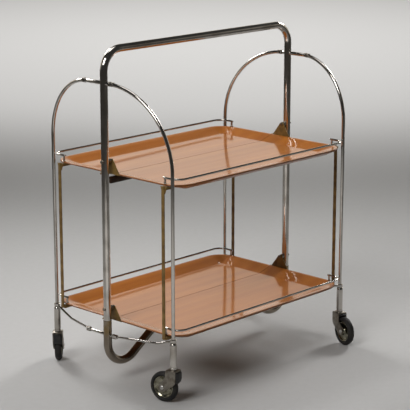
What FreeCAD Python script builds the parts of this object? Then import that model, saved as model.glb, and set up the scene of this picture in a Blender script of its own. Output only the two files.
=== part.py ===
import FreeCAD, Part
import os
import re

# Two-tier folding serving trolley. X runs along the trays, Y across them, Z up; the floor is at zero
# and the origin lies under the middle of the trolley. Every size is in millimetres or degrees.
# Places in X and Y are measured from the ends and edges of the trays, and heights of the frame from the
# top of the castor wheels, so that it follows both.
SIZES = {
    # Handle frame: one tube bent into two posts and a push bar
    "post_x": 21,
    "post_dia": 18,
    "post_wall": 1.2,
    "handle_z": 725,
    "handle_bend": 50,
    # Lower bow that the posts plug into
    "plug_z": 87,
    "plug_depth": 25,
    "plug_fit": 0.05,
    "bow_wall": 1,
    "bow_low_z": -23,
    "bow_bend": 52,
    "bow_rise": 35,
    "bow_ease": 40,
    "bow_level_z": 40,
    # Cross rods through the posts, with a hinge knuckle at each end
    "rod_upper_z": 650,
    "rod_upper_dia": 9,
    "rod_lower_z": 51,
    "rod_lower_dia": 7,
    "near_arm": 21,
    "far_arm": 62,
    "knuckle_dia": 9.5,
    "knuckle_len": 4,
    "hinge_pin_dia": 4,
    "hinge_head_dia": 6,
    "hinge_head_len": 0.8,
    "tongue_wid": 6,
    "hinge_fit": 0.05,
    "hinge_gap": 0.3,
    "seat_fit": 0.02,
    # Leg gates
    "leg_x": 3,
    "leg_y": 13,
    "leg_dia": 8.5,
    "arc_lead": -8,
    "ear_len": 2.3,
    "yoke_len": 10,
    "yoke_wid": 9,
    "leg_sink": 2,
    "socket_len": 63,
    "socket_dia": 16,
    "leg_seat": 30,
    "stem_seat": 28,
    "arm_dia": 5,
    "arm_tilt": 4.8,
    "arm_rise": 18,
    "eye_wall": 3,
    "eye_len": 8,
    "eye_lift": 0.5,
    # Trays
    "pivot_z": 468,
    "pivot_drop": 352.5,
    "rim_below": 29,
    "tray_len": 297,
    "tray_wid": 213,
    "tray_depth": 12,
    "panel_thk": 3.5,
    "rim_wid": 7,
    "tray_flare": 40,
    "floor_rad": 5,
    "seam_y": 28,
    "seam_gap": 0.3,
    "batten_wid": 12,
    "batten_thk": 15,
    "batten_inset": 2,
    "batten_len": 288,
    # Guard rails
    "rail_dia": 5,
    "rail_rise": 14,
    "rail_x": 4,
    "rail_y": 1.6,
    "rail_bend": 25,
    "rail_post_y": 43,
    "rail_over": 5,
    # Pivot brackets and bolts
    "bracket_thk": 2,
    "bracket_front": 24,
    "bracket_foot": 6,
    "bracket_lap": 9,
    "bracket_eye": 8,
    "bracket_edge": 1,
    "bolt_dia": 6,
    "bolt_fit": 0.05,
    "bolt_head_dia": 11,
    "bolt_head_len": 4,
    "nut_dia": 11,
    "nut_len": 4,
    "side_gap": 0.3,
    # Tie bars and their lugs
    "tie_y": 39,
    "tie_below": 35.5,
    "tie_wid": 9,
    "tie_thk": 2.3,
    "tie_pin_dia": 4,
    "tie_fit": 0.05,
    "tie_open_fit": 0.3,
    "tie_head_dia": 8,
    "tie_head_len": 1.5,
    "lug_wid": 12,
    "lug_low": 5,
    "lug_deep": 24,
    "lug_proud": 6,
    # Castors
    "wheel_dia": 72,
    "tyre_wid": 17,
    "tyre_round": 6,
    "tyre_thk": 9,
    "hub_wid": 11,
    "boss_dia": 16,
    "axle_dia": 6,
    "axle_fit": 0.05,
    "axle_head_dia": 10,
    "axle_head_len": 1.5,
    "castor_trail": 25,
    "fork_gap": 2,
    "cheek_thk": 2,
    "cheek_dia": 20,
    "cheek_lead": 6,
    "hood_gap": 2.5,
    "hood_wall": 2,
    "hood_rad": 18.5,
    "hood_low_z": 18,
    "crown_dia": 26,
    "crown_thk": 5.2,
    "swivel_gap": 0.3,
    "stem_dia": 8,
    "stem_fit": 0.05,
    "stem_short": 1,
    "swivel_front_left": 101,
    "swivel_front_right": -107,
    "swivel_back_left": 45,
    "swivel_back_right": 73,
}

# Places that the sizes give
PLACES = {
    "post_line": "(tray_len+post_x)",
    "leg_line": "(tray_len+leg_x)",
    "leg_row": "(tray_wid-leg_y)",
    "rail_line": "(tray_len-rail_x)",
    "rail_row": "(tray_wid-rail_y)",
    "rail_post_row": "(tray_wid-rail_post_y)",
    "tie_row": "(tray_wid-tie_y)",
    "handle_level": "(wheel_dia+handle_z)",
    "plug_level": "(wheel_dia+plug_z)",
    "bow_low_level": "(wheel_dia+bow_low_z)",
    "bow_top_level": "(wheel_dia+bow_level_z)",
    "rod_upper_level": "(wheel_dia+rod_upper_z)",
    "rod_lower_level": "(wheel_dia+rod_lower_z)",
    "pivot_level": "(wheel_dia+pivot_z)",
    "hood_low_level": "(wheel_dia-hood_low_z)",
}

V = FreeCAD.Vector
EAST = V(1, 0, 0)
NORTH = V(0, 1, 0)
UP = V(0, 0, 1)

doc = FreeCAD.newDocument("trolley")
sheet = doc.addObject("Spreadsheet::Sheet", "Sizes")
for row, (alias, value) in enumerate(SIZES.items(), 1):
    sheet.set("A%d" % row, alias)
    sheet.set("B%d" % row, str(value))
    sheet.setAlias("B%d" % row, alias)
doc.recompute()
nodes = []


NAME = r"[a-z]+(?:_[a-z]+)+"


def cells(expression):
    """Write out the places named in an expression, then point each size name at its cell."""
    written = re.sub(NAME, lambda name: PLACES.get(name.group(0), name.group(0)), str(expression))
    return re.sub(NAME, lambda name: "Sizes." + name.group(0), written)


def bind(obj, prop, expression):
    obj.setExpression(prop, cells(expression))


def facing(first, second):
    """Turn local X to the first direction and local Y to the second."""
    return FreeCAD.Rotation(first, second, first.cross(second), "XYZ")


ALONG = {"x": facing(NORTH, UP), "y": facing(UP, EAST), "z": FreeCAD.Rotation()}
STANDING = facing(EAST, UP)


def place(obj, at, turn=FreeCAD.Rotation()):
    obj.Placement = FreeCAD.Placement(V(), turn)
    for axis, expression in zip("xyz", at):
        bind(obj, ".Placement.Base." + axis, expression)
    return obj


def swing(obj, axis, angle):
    """Turn an object about an axis by an angle taken from the sheet."""
    base = obj.Placement.Base
    obj.Placement = FreeCAD.Placement(base, FreeCAD.Rotation(axis, 45))
    bind(obj, ".Placement.Rotation.Angle", angle)
    return obj


def rod(radius, length, at, along="z"):
    obj = doc.addObject("Part::Cylinder", "rod")
    bind(obj, "Radius", radius)
    bind(obj, "Height", length)
    return place(obj, at, ALONG[along])


def ball(radius, at):
    obj = doc.addObject("Part::Sphere", "ball")
    bind(obj, "Radius", radius)
    return place(obj, at)


def block(length, width, height, at):
    obj = doc.addObject("Part::Box", "block")
    bind(obj, "Length", length)
    bind(obj, "Width", width)
    bind(obj, "Height", height)
    return place(obj, at)


def bend(path, radius, sweep, centre, start, towards):
    """Quarter or part of a ring whose tube runs from one direction towards another."""
    obj = doc.addObject("Part::Torus", "bend")
    bind(obj, "Radius1", path)
    bind(obj, "Radius2", radius)
    bind(obj, "Angle3", sweep)
    return place(obj, centre, facing(start, towards))


def taper(low_x, low_y, top_x, top_y, height, at):
    """Solid that runs straight from one rectangle up to another; each range is a pair of expressions."""
    obj = doc.addObject("Part::Wedge", "taper")
    bind(obj, "Xmin", low_x[0])
    bind(obj, "Xmax", low_x[1])
    bind(obj, "X2min", top_x[0])
    bind(obj, "X2max", top_x[1])
    bind(obj, "Zmin", "-(%s)" % low_y[1])
    bind(obj, "Zmax", "-(%s)" % low_y[0])
    bind(obj, "Z2min", "-(%s)" % top_y[1])
    bind(obj, "Z2max", "-(%s)" % top_y[0])
    bind(obj, "Ymin", 0)
    bind(obj, "Ymax", height)
    return place(obj, at, STANDING)


def fuse(*shapes):
    obj = doc.addObject("Part::MultiFuse", "fuse")
    obj.Shapes = list(shapes)
    obj.Refine = True
    return obj


def cut(base, *tools):
    obj = doc.addObject("Part::Cut", "cut")
    obj.Base = base
    obj.Tool = tools[0] if len(tools) == 1 else fuse(*tools)
    return obj


def common(base, tool):
    obj = doc.addObject("Part::Common", "common")
    obj.Base = base
    obj.Tool = tool
    return obj


def node(obj, label):
    obj.Label = label
    nodes.append(obj)
    return obj


def mirrored(sign, expression):
    return "%d*(%s)" % (sign, expression)


def span(sign, near, far):
    """Lower end of the range between two distances on one side of the middle."""
    return near if sign > 0 else "-(%s)" % far


SIDES = {"left": -1, "right": 1}
ENDS = {"front": -1, "back": 1}
PIVOTS = {"upper": "pivot_level", "lower": "(pivot_level-pivot_drop)"}

POST_RADIUS = "post_dia/2"
BOW_BORE = "(post_dia/2+plug_fit)"
BOW_RADIUS = "(post_dia/2+plug_fit+bow_wall)"
LEG_RADIUS = "leg_dia/2"
CROWN_Z = "(wheel_dia+hood_gap+hood_wall)"
SOCKET_Z = "(wheel_dia+hood_gap+hood_wall+crown_thk+swivel_gap)"
SOCKET_TOP = "(%s+socket_len)" % SOCKET_Z
FORK_INNER = "(tyre_wid/2+fork_gap)"
FORK_OUTER = "(tyre_wid/2+fork_gap+cheek_thk)"
TIE_X = "(tray_len+lug_proud+side_gap)"


def handle_run(radius, below):
    """Solid run of the handle tube: two posts, two bends and the push bar."""
    reach = "(post_line-handle_bend)"
    foot = "(plug_level-plug_depth-%s)" % below
    pieces = [rod(radius, "2*%s" % reach, ("-%s" % reach, 0, "handle_level"), "x")]
    for sign in SIDES.values():
        pieces.append(rod(radius, "handle_level-handle_bend-%s" % foot, (mirrored(sign, "post_line"), 0, foot)))
        corner = (mirrored(sign, reach), 0, "handle_level-handle_bend")
        pieces.append(bend("handle_bend", radius, 90, corner, EAST * sign, UP))
    return fuse(*pieces)


def bow_run(radius, above):
    """Solid run of the bow: down from each plug, round a J, up a slope and level across the middle."""
    low_x = "(post_line-bow_bend-bow_bend*sin(bow_rise))"
    turn_z = "(bow_low_level+bow_bend)"
    low_z = "(%s-bow_bend*cos(bow_rise))" % turn_z
    climb = "((bow_top_level-bow_ease*(1-cos(bow_rise))-%s)/sin(bow_rise))" % low_z
    level_x = "(%s-%s*cos(bow_rise)-bow_ease*sin(bow_rise))" % (low_x, climb)
    pieces = [rod(radius, "2*%s" % level_x, ("-%s" % level_x, 0, "bow_top_level"), "x")]
    for sign in SIDES.values():
        away = EAST * sign
        pieces.append(rod(radius, "plug_level+%s-%s" % (above, turn_z), (mirrored(sign, "post_line"), 0, turn_z)))
        centre = (mirrored(sign, "post_line-bow_bend"), 0, turn_z)
        pieces.append(bend("bow_bend", radius, "90+bow_rise", centre, away, -UP))
        slope = rod(radius, climb, (mirrored(sign, low_x), 0, low_z))
        pieces.append(swing(slope, NORTH, mirrored(sign, "bow_rise-90")))
        centre = (mirrored(sign, level_x), 0, "bow_top_level-bow_ease")
        pieces.append(bend("bow_ease", radius, "bow_rise", centre, UP, away))
    return fuse(*pieces)


def through_posts(radius, height, along, sides):
    """Round tools that pass through the posts at one height."""
    tools = []
    for sign in sides:
        if along == "y":
            at = (mirrored(sign, "post_line"), "-post_dia", height)
        else:
            at = ("%d*post_line-post_dia" % sign, 0, height)
        tools.append(rod(radius, "2*post_dia", at, along))
    return tools


# Handle frame: hollow, with holes for the upper cross rods and for the tray pivot bolts
handle_holes = through_posts("rod_upper_dia/2+seat_fit", "rod_upper_level", "y", SIDES.values())
for pivot in PIVOTS.values():
    handle_holes += through_posts("bolt_dia/2+seat_fit", pivot, "x", SIDES.values())
handle_bore = handle_run("post_dia/2-post_wall", "post_wall")
node(cut(handle_run(POST_RADIUS, 0), handle_bore, *handle_holes), "handle_frame")

# Lower bow: its upper ends are sockets for the posts, and the lower cross rods pass through them
bow_holes = through_posts("rod_lower_dia/2+seat_fit", "rod_lower_level", "y", SIDES.values())
node(cut(bow_run(BOW_RADIUS, 0), bow_run(BOW_BORE, "bow_wall"), *bow_holes), "lower_bow")

# Cross rods: the arm is short towards one corner and long towards the other, turned half round at the
# other end of the trolley; each end is flattened to a tongue with an upright hinge pin
YOKE_HALF = "(knuckle_len/2+hinge_gap+ear_len)"
EAR_ROOM = "(knuckle_dia/2+hinge_gap)"


def hinge_arm(side, end):
    return "near_arm" if SIDES[side] == ENDS[end] else "far_arm"


for level in ("upper", "lower"):
    height = "rod_%s_level" % level
    for side, sign in SIDES.items():
        x = mirrored(sign, "post_line")
        front = hinge_arm(side, "front")
        back = hinge_arm(side, "back")
        rod_len = "near_arm+far_arm-2*" + EAR_ROOM
        pieces = [rod("rod_%s_dia/2" % level, rod_len, (x, "%s-%s" % (EAR_ROOM, front), height), "y")]
        tongue_at = ("%s-tongue_wid/2" % x, "-" + front, height + "-knuckle_len/2")
        pieces.append(block("tongue_wid", "near_arm+far_arm", "knuckle_len", tongue_at))
        for y in ("-" + front, back):
            pin_low = "%s-%s-hinge_head_len" % (height, YOKE_HALF)
            pin_len = "2*%s+2*hinge_head_len" % YOKE_HALF
            pieces.append(rod("knuckle_dia/2", "knuckle_len", (x, y, height + "-knuckle_len/2")))
            pieces.append(rod("hinge_pin_dia/2", pin_len, (x, y, pin_low)))
            pieces.append(rod("hinge_head_dia/2", "hinge_head_len", (x, y, pin_low)))
            pieces.append(rod("hinge_head_dia/2", "hinge_head_len", (x, y, "%s+%s" % (height, YOKE_HALF))))
        node(fuse(*pieces), "cross_rod_%s_%s" % (level, side))

# Leg gates: drawn with the hinge pin at the local origin and the leg out along local X, then carried to
# the hinge and turned towards the leg's place on the floor
EYE_Z = "(%s+eye_lift)" % SOCKET_TOP


def yoke(height):
    """Fork of two ears round a knuckle, bored for the hinge pin."""
    low = "%s-%s" % (height, YOKE_HALF)
    tall = "2*" + YOKE_HALF
    ears = fuse(
        rod("knuckle_dia/2", tall, (0, 0, low)),
        block("yoke_len", "yoke_wid", tall, (0, "-yoke_wid/2", low)),
    )
    slot_len = "knuckle_len+2*hinge_gap"
    slot = rod(EAR_ROOM, slot_len, (0, 0, height + "-knuckle_len/2-hinge_gap"))
    bore = rod("hinge_pin_dia/2+hinge_fit", tall, (0, 0, low))
    return cut(ears, slot, bore)


def to_gate(obj, side, end):
    arm = hinge_arm(side, end)
    sign = SIDES[side]
    place(obj, (mirrored(sign, "post_line"), mirrored(ENDS[end], arm), 0))
    along_x = mirrored(-sign, "post_line-leg_line")
    along_y = mirrored(ENDS[end], "leg_row-" + arm)
    return swing(obj, UP, "atan2(%s; %s)" % (along_y, along_x))


for end in ENDS:
    for side in SIDES:
        corner = "%s_%s" % (end, side)
        reach = "sqrt((post_line-leg_line)^2+(leg_row-%s)^2)" % hinge_arm(side, end)
        arc = "(%s-arc_lead)" % reach
        sweep = "acos((yoke_len-leg_sink-arc_lead)/%s)" % arc
        leg_low = "%s-leg_seat" % SOCKET_TOP
        leg = fuse(
            yoke("rod_upper_level"),
            bend(arc, LEG_RADIUS, sweep, ("arc_lead", 0, "rod_upper_level-" + arc), EAST, UP),
            rod(LEG_RADIUS, "rod_upper_level-%s-(%s)" % (arc, leg_low), (reach, 0, leg_low)),
        )
        node(to_gate(leg, side, end), "leg_" + corner)

        climb = "(%s+eye_len/2-rod_lower_level)" % EYE_Z
        knee_x = "((%s-%s*tan(arm_rise))/(tan(arm_tilt)-tan(arm_rise)))" % (climb, reach)
        knee = (knee_x, 0, "rod_lower_level+%s*tan(arm_tilt)" % knee_x)
        run_x = "(yoke_len-leg_sink)"
        run_len = "(%s-%s)/cos(arm_tilt)" % (knee_x, run_x)
        run = rod("arm_dia/2", run_len, (run_x, 0, "rod_lower_level+%s*tan(arm_tilt)" % run_x))
        rise = rod("arm_dia/2", "(%s-%s)/cos(arm_rise)" % (reach, knee_x), knee)
        wire = fuse(
            yoke("rod_lower_level"),
            swing(run, NORTH, "90-arm_tilt"),
            ball("arm_dia/2", knee),
            swing(rise, NORTH, "90-arm_rise"),
            rod(LEG_RADIUS + "+eye_wall", "eye_len", (reach, 0, EYE_Z)),
        )
        eye_bore = rod(LEG_RADIUS + "+seat_fit", "3*eye_len", (reach, 0, EYE_Z + "-eye_len"))
        node(to_gate(cut(wire, eye_bore), side, end), "leg_arm_" + corner)

        x = mirrored(SIDES[side], "leg_line")
        y = mirrored(ENDS[end], "leg_row")
        socket = cut(
            rod("socket_dia/2", "socket_len", (x, y, SOCKET_Z)),
            rod(LEG_RADIUS + "+seat_fit", "leg_seat", (x, y, leg_low)),
            rod("stem_dia/2+stem_fit", "stem_seat", (x, y, SOCKET_Z)),
        )
        node(socket, "castor_socket_" + corner)


RIM_RAD = "(floor_rad+tray_flare+rim_wid)"


def tray_form(shrink_low, shrink_top, height, base):
    """Flared block with rounded corners, drawn in from the rim by two amounts."""
    core_x = "(tray_len-%s)" % RIM_RAD
    core_y = "(tray_wid-%s)" % RIM_RAD
    ends = [("-(tray_len-(%s))" % shrink, "tray_len-(%s)" % shrink) for shrink in (shrink_low, shrink_top)]
    edges = [("-(tray_wid-(%s))" % shrink, "tray_wid-(%s)" % shrink) for shrink in (shrink_low, shrink_top)]
    short_x = ("-" + core_x, core_x)
    short_y = ("-" + core_y, core_y)
    pieces = [
        taper(ends[0], short_y, ends[1], short_y, height, (0, 0, base)),
        taper(short_x, edges[0], short_x, edges[1], height, (0, 0, base)),
    ]
    for side in SIDES.values():
        for end in ENDS.values():
            corner = doc.addObject("Part::Cone", "corner")
            bind(corner, "Radius1", "%s-(%s)" % (RIM_RAD, shrink_low))
            bind(corner, "Radius2", "%s-(%s)" % (RIM_RAD, shrink_top))
            bind(corner, "Height", height)
            pieces.append(place(corner, (mirrored(side, core_x), mirrored(end, core_y), base)))
    return fuse(*pieces)


def bracket_plate(x_range, low, high, rim, pivot):
    """Plate that narrows from the rim up to an eye round the pivot."""
    foot = "%s-bracket_lap" % rim
    eye_range = ("-bracket_eye", "bracket_eye")
    thick = "(%s)-(%s)" % (x_range[1], x_range[0])
    return [
        taper(x_range, (low, high), x_range, eye_range, "%s-(%s)" % (pivot, foot), (0, 0, foot)),
        rod("bracket_eye", thick, (x_range[0], 0, pivot), "x"),
    ]


def outward(sign, near, far):
    """Range in X between two distances on one side."""
    return (near, far) if sign > 0 else ("-(%s)" % far, "-(%s)" % near)


SEAM = {"front": "(seam_y-seam_gap/2)", "back": "(seam_y+seam_gap/2)"}
bolts = []

for tier, pivot in PIVOTS.items():
    rim = "(%s-rim_below)" % pivot
    panel = "(%s-tray_depth)" % rim
    under = "(%s-panel_thk)" % panel
    rail_z = "(%s+rail_rise)" % rim
    pin_z = "(%s-tie_below)" % pivot
    edge_low = "(%s-panel_thk)" % rim
    form = fuse(
        tray_form("tray_flare", "0", "tray_depth", under),
        tray_form("0", "0", "panel_thk", edge_low),
    )
    hollow = tray_form("tray_flare+rim_wid", "rim_wid", "tray_depth", panel)
    whole = cut(form, hollow)

    for end, way in ENDS.items():
        leaf = "%s_%s" % (tier, end)
        # Leaf: the part of the tray on one side of the seam
        low_y = "-2*tray_wid" if way < 0 else SEAM[end]
        wide = "2*tray_wid+" + SEAM[end] if way < 0 else "2*tray_wid"
        side_box = block("4*tray_len", wide, "4*tray_depth", ("-2*tray_len", low_y, under + "-tray_depth"))
        node(common(whole, side_box), "tray_" + leaf)

        # Guard rail: a rod along the outer edge that turns in at both ends onto short posts
        run = "(rail_line-rail_bend)"
        inner = "(rail_post_row-rail_over)"
        turn_y = "(rail_row-rail_bend)"
        edge_y = mirrored(way, "rail_row")
        pieces = [rod("rail_dia/2", "2*" + run, ("-" + run, edge_y, rail_z), "x")]
        for sign in SIDES.values():
            x = mirrored(sign, "rail_line")
            centre = (mirrored(sign, run), mirrored(way, turn_y), rail_z)
            pieces.append(bend("rail_bend", "rail_dia/2", 90, centre, EAST * sign, NORTH * way))
            at = (x, span(way, inner, turn_y), rail_z)
            pieces.append(rod("rail_dia/2", "%s-%s" % (turn_y, inner), at, "y"))
            pieces.append(rod("rail_dia/2", "rail_rise", (x, mirrored(way, "rail_post_row"), rim)))
        node(fuse(*pieces), "rail_" + leaf)

        # Pivot brackets: the front leaf's lie against the rim and the back leaf's lap outside them, on a foot
        plates = []
        for sign in SIDES.values():
            if end == "front":
                x_range = outward(sign, "tray_len", "tray_len+bracket_thk")
                low, high = "-bracket_front", SEAM[end] + "-bracket_edge"
                solid = bracket_plate(x_range, low, high, rim, pivot)
            else:
                lapped = "tray_len+bracket_thk+side_gap"
                x_range = outward(sign, lapped, lapped + "+bracket_thk")
                low, high = SEAM[end] + "+bracket_edge", SEAM[end] + "+bracket_edge+bracket_foot"
                solid = bracket_plate(x_range, low, high, rim, pivot)
                foot_x = outward(sign, "tray_len", lapped)[0]
                foot_at = (foot_x, low, rim + "-bracket_lap")
                solid.append(block("bracket_thk+side_gap", "bracket_foot", "bracket_lap", foot_at))
            hole_at = (x_range[0] + "-bracket_thk", 0, pivot)
            hole = rod("bolt_dia/2+bolt_fit", "3*bracket_thk", hole_at, "x")
            plates.append(cut(fuse(*solid), hole))
        node(fuse(*plates), "brackets_" + leaf)

        # Tie-bar lugs: blocks under the rim, each with a headed pin that stands out past the tray's end
        lugs = []
        for sign in SIDES.values():
            y = mirrored(way, "tie_row")
            pin_end = TIE_X + "+tie_thk+side_gap"
            body_x = outward(sign, "tray_len-lug_deep", "tray_len+lug_proud")[0]
            pin_x = outward(sign, "tray_len-lug_deep", pin_end)[0]
            head_x = outward(sign, pin_end, pin_end + "+tie_head_len")[0]
            body_at = (body_x, y + "-lug_wid/2", pin_z + "-lug_low")
            body = block("lug_deep+lug_proud", "lug_wid", "%s-%s+lug_low" % (edge_low, pin_z), body_at)
            pin = rod("tie_pin_dia/2", pin_end + "-tray_len+lug_deep", (pin_x, y, pin_z), "x")
            head = rod("tie_head_dia/2", "tie_head_len", (head_x, y, pin_z), "x")
            lugs.append(fuse(cut(fuse(body, pin), form), head))
        node(fuse(*lugs), "tie_lugs_" + leaf)

    # Pivot bolts: head inside the brackets, spacer up to the post, nut on the post's outer side
    for sign in SIDES.values():
        head_end = "tray_len-side_gap"
        spacer = "tray_len+2*bracket_thk+2*side_gap"
        nut_end = "post_line+post_dia/2+nut_len"
        head_x = outward(sign, head_end + "-bolt_head_len", head_end)[0]
        shank_x = outward(sign, head_end, nut_end)[0]
        spacer_x = outward(sign, spacer, "post_line")[0]
        nut_x = outward(sign, "post_line", nut_end)[0]
        nut = doc.addObject("Part::Prism", "nut")
        bind(nut, "Circumradius", "nut_dia/2")
        bind(nut, "Height", "%s-post_line" % nut_end)
        place(nut, (nut_x, 0, pivot), ALONG["x"])
        sleeve = rod("bolt_head_dia/2", "post_line-(%s)" % spacer, (spacer_x, 0, pivot), "x")
        post_room = rod(POST_RADIUS, "4*nut_dia", (mirrored(sign, "post_line"), 0, pivot + "-2*nut_dia"))
        bolts.append(
            fuse(
                rod("bolt_head_dia/2", "bolt_head_len", (head_x, 0, pivot), "x"),
                rod("bolt_dia/2", "%s-(%s)" % (nut_end, head_end), (shank_x, 0, pivot), "x"),
                cut(fuse(sleeve, nut), post_room),
            )
        )

node(fuse(*bolts), "tray_pivot_bolts")

# Batten under the upper seam, fixed to the front leaf
batten_z = "pivot_level-rim_below-tray_depth-panel_thk-batten_thk"
batten_y = SEAM["front"] + "-batten_inset-batten_wid"
node(block("2*batten_len", "batten_wid", "batten_thk", ("-batten_len", batten_y, batten_z)), "seam_batten")

# Tie bars: flat bars with round ends, running on the upper lugs' pins and loose round the lower ones
for end, way in ENDS.items():
    for side, sign in SIDES.items():
        x = outward(sign, TIE_X, TIE_X + "+tie_thk")[0]
        y = mirrored(way, "tie_row")
        top = "(pivot_level-tie_below)"
        low = "(pivot_level-pivot_drop-tie_below)"
        bar = fuse(
            block("tie_thk", "tie_wid", "pivot_drop", (x, y + "-tie_wid/2", low)),
            rod("tie_wid/2", "tie_thk", (x, y, top), "x"),
            rod("tie_wid/2", "tie_thk", (x, y, low), "x"),
        )
        hole_x = x + "-tie_thk"
        top_hole = rod("tie_pin_dia/2+tie_fit", "3*tie_thk", (hole_x, y, top), "x")
        low_hole = rod("tie_pin_dia/2+tie_open_fit", "3*tie_thk", (hole_x, y, low), "x")
        node(cut(bar, top_hole, low_hole), "tie_bar_%s_%s" % (end, side))

# Castors: drawn with the stem on the local origin and the wheel trailing along local X
WHEEL = ("castor_trail", "wheel_dia/2")


def across(radius, half):
    """Round piece across the castor, centred on the axle."""
    return rod(radius, "2*(%s)" % half, (WHEEL[0], "-(%s)" % half, WHEEL[1]), "y")


def to_castor(obj, side, end):
    place(obj, (mirrored(SIDES[side], "leg_line"), mirrored(ENDS[end], "leg_row"), 0))
    return swing(obj, UP, "swivel_%s_%s" % (end, side))


def fork():
    """Stem, crown and two cheeks down to the axle."""
    bridge_at = ("-cheek_lead", "-" + FORK_OUTER, CROWN_Z)
    pieces = [
        rod("stem_dia/2", "%s+stem_seat-stem_short-%s" % (SOCKET_Z, CROWN_Z), (0, 0, CROWN_Z)),
        rod("crown_dia/2", "crown_thk", (0, 0, CROWN_Z)),
        block("cheek_lead+crown_dia/2", "2*" + FORK_OUTER, "crown_thk", bridge_at),
    ]
    cheek_tall = "%s+crown_thk/2-wheel_dia/2" % CROWN_Z
    low_x = ("castor_trail-cheek_dia/2", "castor_trail+cheek_dia/2")
    top_x = ("-cheek_lead", "castor_trail")
    for low, high in ((FORK_INNER, FORK_OUTER), ("-" + FORK_OUTER, "-" + FORK_INNER)):
        pieces.append(taper(low_x, (low, high), top_x, (low, high), cheek_tall, (0, 0, "wheel_dia/2")))
        pieces.append(rod("cheek_dia/2", "cheek_thk", (WHEEL[0], low, WHEEL[1]), "y"))
    return cut(fuse(*pieces), across("axle_dia/2+seat_fit", "2*" + FORK_OUTER))


def hood():
    """Guard under the crown that fills the fork ahead of the wheel."""
    drum = rod("hood_rad", CROWN_Z + "-hood_low_level", (0, 0, "hood_low_level"))
    between = block("2*hood_rad", "2*" + FORK_INNER, CROWN_Z, ("-hood_rad", "-" + FORK_INNER, 0))
    return cut(common(drum, between), across("wheel_dia/2+hood_gap", FORK_OUTER))


def tyre():
    solid = across("wheel_dia/2", "tyre_wid/2")
    doc.recompute()
    rims = []
    for number, edge in enumerate(solid.Shape.Edges, 1):
        if edge.isClosed():
            rims.append((number, sheet.get("tyre_round"), sheet.get("tyre_round")))
    rounded = doc.addObject("Part::Fillet", "rounded")
    rounded.Base = solid
    rounded.Edges = rims
    return cut(rounded, across("wheel_dia/2-tyre_thk", "tyre_wid"))


for end in ENDS:
    for side in SIDES:
        corner = "%s_%s" % (end, side)
        node(to_castor(fork(), side, end), "fork_" + corner)
        node(to_castor(hood(), side, end), "hood_" + corner)
        axle = across("axle_dia/2", FORK_OUTER + "+axle_head_len")
        heads = cut(
            across("axle_head_dia/2", FORK_OUTER + "+axle_head_len"),
            across("axle_head_dia", FORK_OUTER),
        )
        node(to_castor(fuse(axle, heads), side, end), "axle_" + corner)
        hub = fuse(across("wheel_dia/2-tyre_thk", "hub_wid/2"), across("boss_dia/2", FORK_INNER + "-side_gap"))
        node(to_castor(cut(hub, across("axle_dia/2+axle_fit", "tyre_wid")), side, end), "hub_" + corner)
        node(to_castor(tyre(), side, end), "tyre_" + corner)

doc.recompute()
for obj in doc.Objects:
    if "Invalid" in obj.State or "Error" in obj.State:
        raise RuntimeError("%s failed: %s" % (obj.Label, obj.State))
for obj in nodes:
    if obj.Shape.isNull() or not obj.Shape.isValid():
        raise RuntimeError("%s has no valid shape" % obj.Label)

os.makedirs("parts", exist_ok=True)
for obj in nodes:
    obj.Shape.exportStep(os.path.join("parts", obj.Label + ".step"))
    print("%-28s solids %d volume %.0f" % (obj.Label, len(obj.Shape.Solids), obj.Shape.Volume))
print("%d nodes" % len(nodes))
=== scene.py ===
import math

import bmesh
import bpy
from bmesh.types import BMEdge, BMFace, BMVert
from mathutils import Matrix, Vector


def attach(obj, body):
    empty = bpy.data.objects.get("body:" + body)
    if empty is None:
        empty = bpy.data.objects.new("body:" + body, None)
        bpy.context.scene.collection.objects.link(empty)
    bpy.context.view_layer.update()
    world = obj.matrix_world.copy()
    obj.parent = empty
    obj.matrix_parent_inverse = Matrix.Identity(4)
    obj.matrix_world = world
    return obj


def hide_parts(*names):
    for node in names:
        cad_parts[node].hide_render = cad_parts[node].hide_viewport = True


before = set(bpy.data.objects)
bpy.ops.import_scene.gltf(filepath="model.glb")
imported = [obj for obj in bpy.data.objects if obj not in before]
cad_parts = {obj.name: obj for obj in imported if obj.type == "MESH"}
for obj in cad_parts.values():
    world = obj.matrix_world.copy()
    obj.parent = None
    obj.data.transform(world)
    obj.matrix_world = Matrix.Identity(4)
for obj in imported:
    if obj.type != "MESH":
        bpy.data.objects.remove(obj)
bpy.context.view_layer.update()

# Handle frame: one length of thin steel tube bent into two posts and a push bar, then chrome plated.
# The posts carry everything else and plug into the bow, so the frame is the first piece on the bench.
MM = 0.001
SAME_POINT = 0.002 * MM
SHARP_ANGLE = 38
EAST = Vector((1, 0, 0))
NORTH = Vector((0, 1, 0))
UP = Vector((0, 0, 1))
POST_X = 318
POST_RAD = 9
POST_FOOT = 134
PUSH_BAR_Z = 797
HANDLE_BEND = 50


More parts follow.
